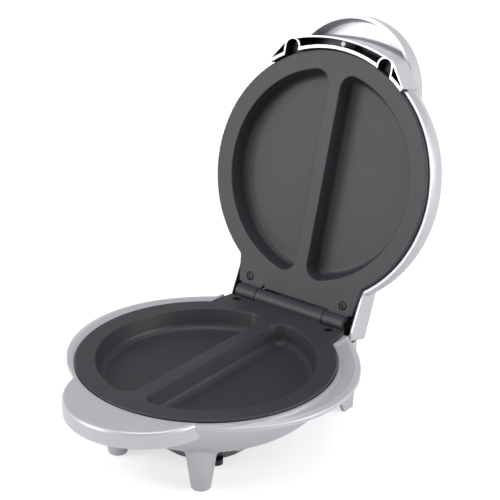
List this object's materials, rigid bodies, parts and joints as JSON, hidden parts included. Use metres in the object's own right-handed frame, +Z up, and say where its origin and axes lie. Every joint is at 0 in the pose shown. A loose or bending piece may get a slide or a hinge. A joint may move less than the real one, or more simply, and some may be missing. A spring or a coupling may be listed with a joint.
{
  "type": "electric omelette maker",
  "caption": "Round clamshell omelette maker standing open, with half-moon non-stick plates, a silver hinged lid, front grips and feet.",
  "frame": {"origin": "under the middle of the open object's box, at table height", "axes": "+X along the hinge, +Y from the front grip towards the hinge and the open lid, +Z up"},
  "size_m": [0.2316, 0.3432, 0.2987],
  "materials": {
    "silver_plastic": "silver-painted moulded plastic, black underneath",
    "black_plastic": "fine-grained black moulded plastic",
    "nonstick_plate": "cast aluminium with a dark non-stick coating",
    "steel": "plated steel",
    "black_screw": "blackened steel",
    "heater_sheath": "drawn steel sheath, heat-tinted",
    "aluminised_steel": "thin pressed aluminised sheet",
    "thermostat_body": "phenolic moulding",
    "fuse_case": "tinned case",
    "terminal_ceramic": "glazed ceramic block",
    "white_plastic": "white moulded plastic",
    "red_lens": "translucent red plastic",
    "green_lens": "translucent green plastic",
    "lamp_glass": "small clear glass lamp"
  },
  "bodies": {
    "base": {"base_housing": "silver_plastic", "bottom_cover": "black_plastic", "bottom_cover_screws": "steel", "lower_plate": "nonstick_plate", "lower_plate_screws": "steel", "lower_heater": "heater_sheath", "lower_heater_clamps": "steel", "lower_reflector": "aluminised_steel", "lower_reflector_screws": "steel", "thermostat_bracket": "steel", "thermostat": "thermostat_body", "thermal_fuse": "fuse_case", "terminal_block": "terminal_ceramic", "cord_gland": "black_plastic", "hinge_pin": "steel"},
    "lid": {"lid_housing": "silver_plastic", "upper_plate": "nonstick_plate", "upper_plate_screws": "steel", "lid_front_screws": "black_screw", "upper_heater": "heater_sheath", "upper_heater_clamps": "steel", "upper_reflector": "aluminised_steel", "upper_reflector_screws": "steel", "locating_stud": "white_plastic", "power_light_lens": "red_lens", "ready_light_lens": "green_lens", "lamp_holder": "black_plastic", "neon_lamps": "lamp_glass"}
  },
  "joints": [
    {"name": "lid_hinge", "type": "hinge", "parent": "base", "child": "lid", "pos_m": [0, 0.07031, 0.0738], "axis": [1, 0, 0], "range_deg": [0, 105.4]}
  ]
}
